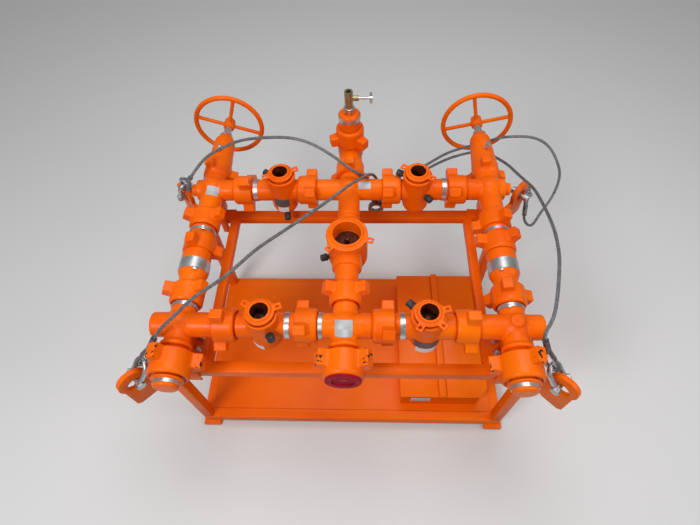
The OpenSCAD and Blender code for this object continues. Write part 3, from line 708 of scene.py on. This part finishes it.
# Each nut: centre, width, way and turn in the solids, then the same in the photograph, and
# the radius of its mouth
MOUTH_DEPTH = 10.0
SAME_NUT = 12.0
NUTS = {
    "front_run_nuts": ("X", 0.0, [
        ((-431, 80, 1, 160), (-431, 80, 1, 60), 50), ((-138, 80, -1, 185), (-138, 80, 1, 97), 50),
        ((138, 80, 1, 172), (138, 80, -1, 74), 50), ((431, 80, -1, 200), (431, 80, -1, 0), 50)]),
    "back_run_nuts": ("X", RUN, [
        ((-461, 80, 1, 170), (-461, 80, -1, 101), 50),
        ((-182, 80, -1, 190), (-182, 80, -1, 69), 50),
        ((182, 80, 1, 165), (182, 80, 1, 111), 50), ((461, 80, -1, 195), (461, 80, 1, 111), 50)]),
    "left_run_nuts": ("Y", -SIDE, [
        ((473, 80, 1, 100), (473, 80, -1, 30), 50), ((354, 80, -1, 70), (354, 80, 1, 23), 50),
        ((118, 80, 1, 30), (118, 80, -1, 35), 50), ((-158, 92, -1, 5), (-158, 92, -1, 112), 61)]),
    "right_run_nuts": ("Y", SIDE, [
        ((473, 80, 1, 100), (473, 80, 1, 50), 50), ((354, 80, -1, 70), (354, 80, -1, 50), 50),
        ((118, 80, 1, 30), (118, 80, -1, 104), 50), ((-158, 92, -1, 45), (-158, 92, -1, 65), 61)]),
    "centre_line_nuts": ("Y", 0.0, [
        ((120, 80, 1, 60), (120, 80, -1, 30), 50), ((-148, 78, -1, 90), (-155, 92, -1, 30), 0),
        ((757, 80, -1, 95), (765, 80, 1, 30), 50)]),
}


def seat_nuts(ob, node):
    """Turns each nut as the photograph shows it, and opens its mouth."""
    axis, at, nuts = NUTS[node]
    bm = bmesh.new()
    bm.from_mesh(ob.data)
    left, mouths = set(bm.verts), []
    for first in bm.verts:
        if first not in left:
            continue
        left.discard(first)
        island, edge = [], [first]
        while edge:
            vert = edge.pop()
            island.append(vert)
            for link in vert.link_edges:
                other = link.other_vert(vert)
                if other in left:
                    left.discard(other)
                    edge.append(other)
        local = [TO_PACK.inverted() @ vert.co for vert in island]
        values = [p.x if axis == "X" else p.y for p in local]
        middle = (min(values) + max(values)) / 2
        for was, now, mouth in nuts:
            if abs(was[0] - middle) < SAME_NUT:
                a, b = nut_frame(axis, at, *was), nut_frame(axis, at, *now)
                wide = Matrix.Diagonal((1, 1, now[1] / was[1], 1))
                move = TO_PACK @ b @ wide @ a.inverted() @ TO_PACK.inverted()
                for vert in island:
                    vert.co = move @ vert.co
                if mouth:
                    mouths.append((b, mouth, now[1]))
    bm.to_mesh(ob.data)
    bm.free()
    cut(ob, [rod(b, mouth, width - MOUTH_DEPTH, width + 6) for b, mouth, width in mouths])


def lip_operator(ob, node):
    """Cuts the operator's ring down to a flange with a lip round its socket."""
    x, y, top, socket, floor = VALVES[node.replace("_operator", "")]
    at = Matrix.Translation((x, y, 0))
    lip = 64 if socket > BIG_SOCKET else 41
    if socket > BIG_SOCKET:
        joined([ob, cut(rod(at, 58, floor, top + 24), [rod(at, socket, floor - 2, top + 30)])])
    ring = cut(rod(at, 160, top + 16, top + 40), [rod(at, lip, top + 10, top + 50)])
    cut(ob, [ring])


def choke_frame(node):
    """The choke's axis, towards the handwheel."""
    sx = -1 if node.startswith("left") else 1
    return Matrix.Translation((sx * SIDE, 0, 0)) @ Matrix.Rotation(math.radians(-90), 4, "X")


def add_bonnet(ob, node):
    """The bonnet that reaches along the stem nearly to the handwheel."""
    at = choke_frame(node)
    joined([ob, rod(at, 56, 795, 958, far=46), rod(at, 46, 957, 988, far=31)])


STEM_BORE = 16.4

SHAPES = {node: seat_nuts for node in NUTS}
SHAPES.update({"left_choke": add_bonnet, "right_choke": add_bonnet})
SHAPES.update({valve + "_operator": lip_operator for valve in VALVES})


CASTINGS = {
    "front_left_cross": ("cast", 0.0034, 8),
    "front_right_cross": ("cast", 0.0034, 8),
    "front_centre_cross": ("cast", 0.0034, 8),
    "back_centre_cross": ("cast", 0.0034, 8),
    "left_choke": ("cast", 0.0034, 6),
    "right_choke": ("cast", 0.0034, 6),
    "left_handwheel": ("cast", 0.0030, 5),
    "right_handwheel": ("cast", 0.0030, 5),
    "front_left_valve": ("cast", 0.0032, 5),
    "front_right_valve": ("cast", 0.0032, 5),
    "back_left_valve": ("cast", 0.0032, 5),
    "back_right_valve": ("cast", 0.0032, 5),
    "centre_valve": ("cast", 0.0034, 5),
    "front_left_operator": ("front_left_socket", 0.0022, 3),
    "front_right_operator": ("front_right_socket", 0.0022, 3),
    "back_left_operator": ("back_left_socket", 0.0022, 3),
    "back_right_operator": ("back_right_socket", 0.0022, 3),
    "centre_operator": ("centre_socket", 0.0024, 3),
    "front_run_nuts": ("cast", 0.0032, 5),
    "back_run_nuts": ("cast", 0.0032, 5),
    "left_run_nuts": ("chipped", 0.0034, 5),
    "right_run_nuts": ("chipped", 0.0034, 5),
    "centre_line_nuts": ("chipped", 0.0034, 5),
    "side_spools": ("cast", 0.0034, 4),
    "bull_plugs": ("cast", 0.0034, 3),
    "bleed_elbow": ("cast", 0.0034, 5),
}
for node, (key, voxel, passes) in CASTINGS.items():
    recast(node, node + "_casting", key, voxel, passes, shape=SHAPES.get(node))



def stem_fittings(side):
    """Opens the bore round the stem, and adds the bright gland nut and the bare stem."""
    at = choke_frame(side)
    casting = bpy.data.objects[side + "_choke_casting"]
    cut(casting, [rod(at, STEM_BORE, 796, 1010)])
    gland = cut(rod(at, 33, 986, 1000, 6), [rod(at, STEM_BORE, 980, 1010)])
    edge_round(gland, 0.0012)
    press(gland)
    smooth(gland, 35)
    settle(gland, side + "_choke_gland", "plated")
    stem = rod(at, 17.5, 1006, 1056, 40)
    edge_round(stem, 0.0012)
    press(stem)
    smooth(stem, 35)
    settle(stem, side + "_choke_stem", "plated", body_of(NODES[side + "_handwheel"])[0])


def edge_round(ob, width, segments=2, angle=30):
    mod = ob.modifiers.new("edge", "BEVEL")
    mod.width = width
    mod.segments = segments
    mod.limit_method = "ANGLE"
    mod.angle_limit = math.radians(angle)


for side in ("left", "right"):
    stem_fittings(side)

for node, width in {
    "base_rails": 0.004, "corner_posts": 0.005, "top_rails": 0.005, "corner_brackets": 0.0015,
    "pipe_saddles": 0.003, "tool_box": 0.002, "padeyes": 0.002,
}.items():
    folded(node, node + "_steel", "plate", width)


# Small pieces over the castings

def turned(axis, up=(0, 0, 1)):
    """A turn that takes +Z to the axis, with +Y as near to up as it can be."""
    z = Vector(axis).normalized()
    y = Vector(up) - Vector(up).dot(z) * z
    y = y.normalized() if y.length > 1e-4 else z.orthogonal().normalized()
    return Matrix((y.cross(z), y, z)).transposed().to_4x4()


def round_bar(centre, axis, radius, length, sides=32, width=0.0006):
    """A round or many-sided bar about a centre, in metres, with its ends softened."""
    bpy.ops.object.select_all(action="DESELECT")
    bpy.ops.mesh.primitive_cylinder_add(vertices=sides, radius=radius, depth=length)
    ob = bpy.context.object
    ob.matrix_world = Matrix.Translation(centre) @ turned(axis)
    edge_round(ob, width)
    press(ob)
    smooth(ob, 40)
    return ob


def block(centre, size, axis=(0, 0, 1), up=(0, 1, 0), width=0.0006):
    """A rectangular block with soft edges: size is across, along up, and along the axis."""
    bpy.ops.object.select_all(action="DESELECT")
    bpy.ops.mesh.primitive_cube_add(size=1)
    ob = bpy.context.object
    ob.matrix_world = (
        Matrix.Translation(centre) @ turned(axis, up) @ Matrix.Diagonal((*size, 1))
    )
    alone(ob)
    bpy.ops.object.transform_apply(location=True, rotation=True, scale=True)
    edge_round(ob, width)
    press(ob)
    smooth(ob, 40)
    return ob


def sticker(name, key, place, axis, up, size, target, reach=0.03):
    """A thin plate laid on a casting: a grid pressed down on it, then given its thickness."""
    bpy.ops.object.select_all(action="DESELECT")
    bpy.ops.mesh.primitive_grid_add(x_subdivisions=28, y_subdivisions=16, size=1)
    ob = bpy.context.object
    ob.matrix_world = (
        Matrix.Translation(place + reach * Vector(axis).normalized())
        @ turned(axis, up) @ Matrix.Diagonal((size[0], size[1], 1, 1))
    )
    alone(ob)
    bpy.ops.object.transform_apply(location=False, rotation=False, scale=True)
    mod = ob.modifiers.new("lay", "SHRINKWRAP")
    mod.target = bpy.data.objects[target]
    mod.wrap_method = "PROJECT"
    mod.use_project_z = True
    mod.use_positive_direction = False
    mod.use_negative_direction = True
    mod.offset = 0.0003
    mod = ob.modifiers.new("thick", "SOLIDIFY")
    mod.thickness = 0.0007
    mod.offset = 1
    press(ob)
    smooth(ob, 40)
    return settle(ob, name, key)


def wrapped_plate(name, key, centre, radius, turn, z):
    """A plate bent round an upright barrel, between two angles and two heights."""
    bpy.ops.object.select_all(action="DESELECT")
    steps = max(8, round(abs(turn[1] - turn[0]) / 4))
    bpy.ops.mesh.primitive_grid_add(x_subdivisions=steps, y_subdivisions=4, size=1)
    ob = bpy.context.object
    for vert in ob.data.vertices:
        angle = math.radians(turn[0] + (vert.co.x + 0.5) * (turn[1] - turn[0]))
        height = z[0] + (vert.co.y + 0.5) * (z[1] - z[0])
        vert.co = spot(
            centre[0] + radius * math.cos(angle), centre[1] + radius * math.sin(angle), height
        )
    mod = ob.modifiers.new("thick", "SOLIDIFY")
    mod.thickness = 0.0009
    mod.offset = 1
    press(ob)
    smooth(ob, 40)
    return settle(ob, name, key)


# Grease fittings: a steel neck and a rounded black cap on the side of each valve

def grease_cap(valve, turn, z, tilt=0.0, barrel=58.0):
    x, y = VALVES[valve][:2]
    out = Vector((math.cos(math.radians(turn)), math.sin(math.radians(turn)), tilt)).normalized()
    root = Vector((x, y, z)) + (barrel - 3) * Vector((out.x, out.y, 0)).normalized()
    neck = round_bar(spot(*(root + 6 * out)), out, 0.010, 0.012)
    cap = round_bar(spot(*(root + 24 * out)), out, 0.0145, 0.028, 40, 0.005)
    collar = round_bar(spot(*(root + 12 * out)), out, 0.0158, 0.004, 40, 0.001)
    return joined([neck, cap, collar])


caps = joined([
    grease_cap("front_left", -62, 36, 0.25),
    grease_cap("front_right", 138, 66, 0.2),
    grease_cap("back_left", 150, 60, 0.2),
    grease_cap("back_left", -80, -92, -0.2, 52),
    grease_cap("back_right", -50, 8, -0.1),
    grease_cap("back_right", 160, 70, 0.2),
    grease_cap("centre", -160, -30, 0.1, 80),
])
settle(caps, "black_grease_caps", "rubber", BODY)
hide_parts("grease_caps")


# Bright hex at the foot of the bleed needle valve

foot = rod(Matrix.Translation((0, 900, 216)), 25.5, 0.5, 27, 6)
edge_round(foot, 0.0015)
press(foot)
smooth(foot, 35)
settle(foot, "needle_valve_hex", "plated")


# Outlet cap: a thick disc with a dished face and one raised ring

def crimson_cap():
    front = Matrix.Translation((0, -209, 0)) @ Matrix.Rotation(math.radians(-90), 4, "X")
    disc = cut(rod(front, 63, 0, 7.6, 96), [rod(front, 41, -3, 5, 96)])
    ring = cut(rod(front, 24, 3.6, 6, 72), [rod(front, 20, -3, 20, 72)])
    for ob in (disc, ring):
        edge_round(ob, 0.0012, 3)
        press(ob)
        smooth(ob, 40)
    cap = settle(joined([disc, ring]), "crimson_outlet_cap", "cap", BODY)
    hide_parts("outlet_cap")


crimson_cap()


# Raised marks and stems of the operators, which turn with them

OPERATOR_MARKS = {
    "front_left": ((232, 300), (60, 118)),
    "front_right": ((250, 292), (60, 120)),
    "back_left": ((235, 300), (60, 120)),
    "back_right": ((235, 300), (60, 120)),
    "centre": ((242, 300), (50, 110)),
}


def operator_marks(key, arcs):
    x, y, top, socket, floor = VALVES[key]
    ring = socket + 14 if socket < BIG_SOCKET else socket + 22
    parts = []
    for first, last in arcs:
        count = 5
        for k in range(count):
            a = math.radians(first + (last - first) * k / (count - 1))
            out = Vector((math.cos(a), math.sin(a), 0))
            place = spot(x, y, top + 17) + ring / 1000 * out
            parts.append(block(place, (0.0055, 0.007, 0.0022), (0, 0, 1), out, 0.0008))
    # The stem takes the socket's finish, so it is painted dark with the socket's painted shade.
    stem = block(spot(x, y, floor + 19), (0.019, 0.019, 0.014), (0, 0, 1), (0.3, 1, 0), 0.002)
    parts.append(stem)
    marks = joined(parts)
    body = body_of(NODES[key + "_operator"])[0]
    settle(marks, key + "_operator_marks", key + "_socket", body)


for key, arcs in OPERATOR_MARKS.items():
    operator_marks(key, arcs)


# Blank plates and labels

sticker("front_centre_label", "label", spot(-2, -34, 50), (0, -0.8, 1), (0, 1, 0), (0.062, 0.054),
        "front_centre_cross_casting")
sticker("back_cross_label", "label", spot(66, 640, 46), (0, -0.35, 1), (0, 1, 0), (0.052, 0.034),
        "back_centre_cross_casting")
sticker("left_choke_label", "label", spot(-584, 606, 58), (0.1, -0.3, 1), (0.1, 1, 0), (0.05, 0.044),
        "left_choke_casting")
wrapped_plate("front_right_nameplate", "grey", (291, 0), 58.5, (-138, -34), (-60, -14))
wrapped_plate("front_right_label", "white", (291, 0), 58.6, (-126, -52), (-94, -63))
wrapped_plate("back_left_nameplate", "grey", (-289, RUN), 58.5, (-128, -62), (-46, 0))
wrapped_plate("back_left_label", "white", (-289, RUN), 58.6, (-116, -70), (-78, -50))
wrapped_plate("front_left_label", "white", (-291, 0), 58.6, (-142, -96), (-82, -56))


# Tool box plate, a black block of painted shade in the bracket's slot, side nipple and choke lock
# screws

def box_plate():
    plate = block(spot(328, -52.4, -668), (0.092, 0.044, 0.0016), (0, -1, 0), (0, 0, 1), 0.0005)
    rivets = [
        round_bar(spot(328 + dx, -53.6, -668 + dz), (0, -1, 0), 0.0026, 0.002, 16, 0.0006)
        for dx in (-41, 41) for dz in (-17, 17)
    ]
    settle(joined([plate] + rivets), "tool_box_plate", "label")


box_plate()
# A black block in the bracket's slot stands for the shade inside the open post under it: painted
# shade.
settle(block(spot(548, -99, -143.5), (0.011, 0.038, 0.004), width=0.001), "bracket_plug", "rubber")


def lock_screw(name, sx, knob):
    """A set screw on the upper side of a choke bonnet, with its jam nut."""
    base = Vector((sx * 600, RUN + 196, 50))
    axis = Vector((sx * 0.25 if knob else -sx * 0.55, 0, 1)).normalized()
    shank = round_bar(spot(*(base + 16 * axis)), axis, 0.0062, 0.034, 24)
    nut = round_bar(spot(*(base + 14 * axis)), axis, 0.0115, 0.009, 6, 0.001)
    wide, sides = (0.013, 24) if knob else (0.009, 6)
    head = round_bar(spot(*(base + 30 * axis)), axis, wide, 0.010, sides, 0.0015)
    settle(joined([shank, nut, head]), name, "plated")


lock_screw("left_choke_lock_screw", -1, False)
lock_screw("right_choke_lock_screw", 1, True)
nipple = joined([
    round_bar(spot(-582, 405, 52), (0.3, 0, 1), 0.010, 0.012, 6, 0.001),
    round_bar(spot(-579, 405, 61), (0.3, 0, 1), 0.0055, 0.014, 20),
])
settle(nipple, "left_run_nipple", "plated")


# Hex nuts, washers and thread on the saddle bolts

def thread(centre, radius, length, pitch=0.002):
    """A bolt end with turned grooves."""
    rings = []
    count = int(length / pitch)
    for k in range(count):
        at = centre + Vector((0, 0, -length / 2 + (k + 0.5) * pitch))
        rings.append(round_bar(at, (0, 0, 1), radius, pitch * 0.62, 20, pitch * 0.25))
    core = round_bar(centre, (0, 0, 1), radius * 0.86, length, 20)
    return joined([core] + rings)


def saddle_fastener(x, y):
    low, high = -142.0, -96.0
    shank = thread(spot(x, y, (low + high) / 2), 0.006, (high - low) / 1000, 0.0035)
    washer = round_bar(spot(x, y, -119.5), (0, 0, 1), 0.0135, 0.002, 32)
    nut = round_bar(spot(x, y, -112), (0, 0, 1), 0.0112, 0.011, 6, 0.0012)
    return joined([shank, washer, nut])


fasteners = joined([saddle_fastener(sx * 560, y) for sx in (-1, 1) for y in (-44, 4)])
settle(fasteners, "saddle_fasteners", "zinc", BODY)
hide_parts("saddle_bolts")


# Buckles of the steel bands

BUCKLES = [
    (-600, 61, 48, 0.5), (600, 61, 48, -0.4), (-600, 212, 58, 0.45), (600, 212, 58, -0.45),
]
for index, (x, y, r, dx) in enumerate(BUCKLES):
    out = Vector((dx, 0, 1)).normalized()
    place = spot(x, y, 0) + (r + 2.6) / 1000 * out
    buckle = block(place, (0.014, 0.012, 0.003), out, (0, 1, 0), 0.0008)
    settle(buckle, "band_buckle_%d" % (index + 1), "band")


# Rope eyes: each leg's rope goes round its thimble and back into the ferrule

def eye_axes(leg):
    """The leg's direction, the direction across its thimble, and the thimble's normal."""
    u = Vector(leg["out"]).normalized()
    o = outward(leg)
    square = Vector((-o.y, o.x, 0))
    normal = (square - square.dot(u) * u).normalized()
    return u, normal.cross(u), normal


def rope_eye(key):
    leg = LEGS[key]
    u, across, normal = eye_axes(leg)
    centre = eye_centre(leg)
    radius, neck = EYE_R + 4.2, EYE_LEN + 6
    points = [(neck, 6.2), (neck - 14, 11)]
    points += [(34, 21)]
    for k in range(13):
        a = math.radians(35 + k * 290 / 12)
        points.append((radius * math.cos(a), radius * math.sin(a)))
    points += [(34, -21), (neck - 14, -11), (neck, -6.2)]
    route = [spot(*(centre + p * u + q * across)) for p, q in points]
    ob, _, _ = lay_rope(key + "_eye", curve_through(route, 6), 5.6 / 1000, 0.085)
    settle(ob, key + "_rope_eye", "rope")


for key in LEGS:
    rope_eye(key)


def shade_thimbles():
    """Bright thimbles on the dark ferrules: faces near a shackle crown take the second finish."""
    ob = NODES["sling_fittings"]
    ob.data.materials.append(MATS["thimble"])
    centres = [spot(*eye_centre(leg)) for leg in LEGS.values()]
    for face in ob.data.polygons:
        middle = ob.matrix_world @ face.center
        if min((middle - c).length for c in centres) < (EYE_LEN - 2) / 1000:
            face.material_index = 1


shade_thimbles()


# Shackle pins: a round head at one side, a hex nut and split pin at the other

def pin_ends(key):
    leg = LEGS[key]
    s, z = pin_of(leg)
    o = outward(leg)
    square = Vector((-o.y, o.x, 0))
    pin = on_pad(leg, s, z)
    side = 1 if leg["side"] * (1 if leg["back"] else -1) > 0 else -1
    reach = BOW_HALF + 15
    head = round_bar(spot(*(pin + side * (reach - 4) * square)), square, 0.0165, 0.007, 36, 0.0015)
    nut = round_bar(spot(*(pin - side * (reach - 4) * square)), square, 0.0165, 0.008, 6, 0.0012)
    up = Vector((0, 0, 1))
    split = round_bar(spot(*(pin - side * (reach + 2.5) * square)), up, 0.0016, 0.034, 12, 0.0004)
    return joined([head, nut, split])


settle(joined([pin_ends(key) for key in LEGS]), "shackle_pin_ends", "zinc")


# Floor and light

def lay_floor():
    bpy.ops.mesh.primitive_plane_add(size=24, location=(0, 2, -0.0005))
    floor = bpy.context.object
    floor.name = "floor"
    mat = bpy.data.materials.new("pale_floor")
    mat.use_nodes = True
    tree = mat.node_tree
    shader = tree.nodes["Principled BSDF"]
    shader.inputs["Roughness"].default_value = 0.85
    shader.inputs["Specular IOR Level"].default_value = 0.1
    rays = tree.nodes.new("ShaderNodeLightPath")
    seen_by = tree.nodes.new("ShaderNodeMath")
    seen_by.operation = "MAXIMUM"
    tree.links.new(rays.outputs["Is Camera Ray"], seen_by.inputs[0])
    tree.links.new(rays.outputs["Is Glossy Ray"], seen_by.inputs[1])
    tint = tree.nodes.new("ShaderNodeMix")
    tint.data_type = "RGBA"
    tint.inputs[6].default_value = (0.2, 0.2, 0.2, 1)
    tint.inputs[7].default_value = (0.74, 0.74, 0.74, 1)
    tree.links.new(seen_by.outputs[0], tint.inputs[0])
    tree.links.new(tint.outputs[2], shader.inputs["Base Color"])
    floor.data.materials.append(mat)


def light_studio():
    scene = bpy.context.scene
    scene.view_settings.view_transform = "Standard"
    world = bpy.data.worlds.new("studio")
    scene.world = world
    world.use_nodes = True
    world.node_tree.nodes["Background"].inputs["Color"].default_value = (1, 1, 1, 1)
    world.node_tree.nodes["Background"].inputs["Strength"].default_value = 0.3

    def lamp(name, place, size, power, target=(0, 0, 0.7)):
        data = bpy.data.lights.new(name, "AREA")
        data.shape = "RECTANGLE"
        data.size, data.size_y = size
        data.energy = power
        ob = bpy.data.objects.new(name, data)
        scene.collection.objects.link(ob)
        way = Vector(target) - Vector(place)
        turn = way.to_track_quat("-Z", "Y").to_matrix().to_4x4()
        ob.matrix_world = Matrix.Translation(place) @ turn

    lamp("key", (-1.8, -2.6, 3.6), (1.3, 1.3), 78)
    lamp("top", (0.3, 0.6, 4.2), (2.4, 1.8), 56)
    lamp("fill", (2.8, -1.4, 2.6), (1.4, 1.4), 24)


lay_floor()
light_studio()
